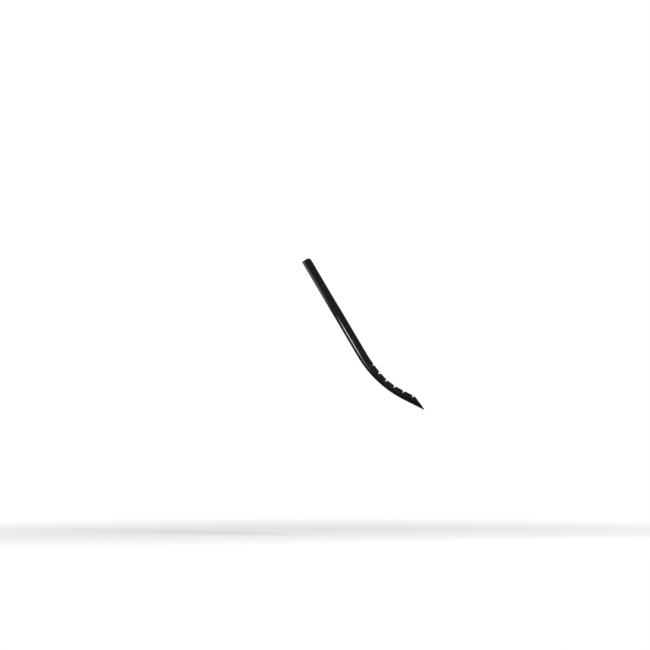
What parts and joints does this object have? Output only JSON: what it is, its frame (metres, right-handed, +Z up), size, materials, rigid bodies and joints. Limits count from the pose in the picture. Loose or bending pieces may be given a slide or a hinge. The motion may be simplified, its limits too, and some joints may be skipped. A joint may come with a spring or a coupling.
{
  "type": "downtube protector",
  "caption": "Flexible moulded channel guard for the underside of a bicycle down tube, bent to the bottom bracket, with notched wings and a tapered lower tip.",
  "frame": {"origin": "middle of the flat seat inside the straight stretch, half way between the upper end and the start of the bend", "axes": "as mounted on the bicycle: +Z up, +X towards the rear wheel, +Y across the bicycle; the straight stretch falls towards +X at 59.5 degrees below level, and the guard is symmetric about the XZ plane"},
  "size_m": [0.3036, 0.0724, 0.3749],
  "materials": {
    "guard_plastic": "satin black moulded elastomer with a fine grain"
  },
  "bodies": {
    "root": {"guard_shell": "guard_plastic"}
  },
  "joints": []
}
